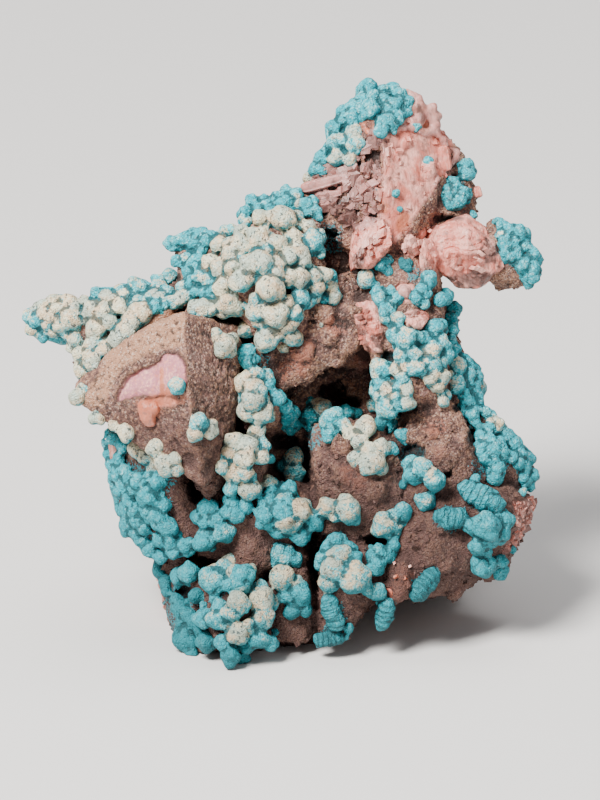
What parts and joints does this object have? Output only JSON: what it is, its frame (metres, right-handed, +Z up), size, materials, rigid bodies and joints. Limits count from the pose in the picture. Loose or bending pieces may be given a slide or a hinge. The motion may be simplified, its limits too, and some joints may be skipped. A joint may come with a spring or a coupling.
{
  "type": "veszelyite mineral specimen",
  "caption": "Free-standing mineral specimen: round turquoise and cream veszelyite lumps on a brown-crusted, partly pink calcite matrix with a pointed peak and two side arms.",
  "frame": {"origin": "middle of the bounding box, on the surface that the specimen stands on", "axes": "+Z up, -Y towards the viewer of the display face, +X to that viewer's right"},
  "size_m": [0.0568, 0.0386, 0.0583],
  "materials": {
    "matrix_crust": "matte",
    "pink_calcite": "satin",
    "veszelyite": "satin"
  },
  "bodies": {
    "root": {"specimen": "matrix_crust"}
  },
  "joints": []
}
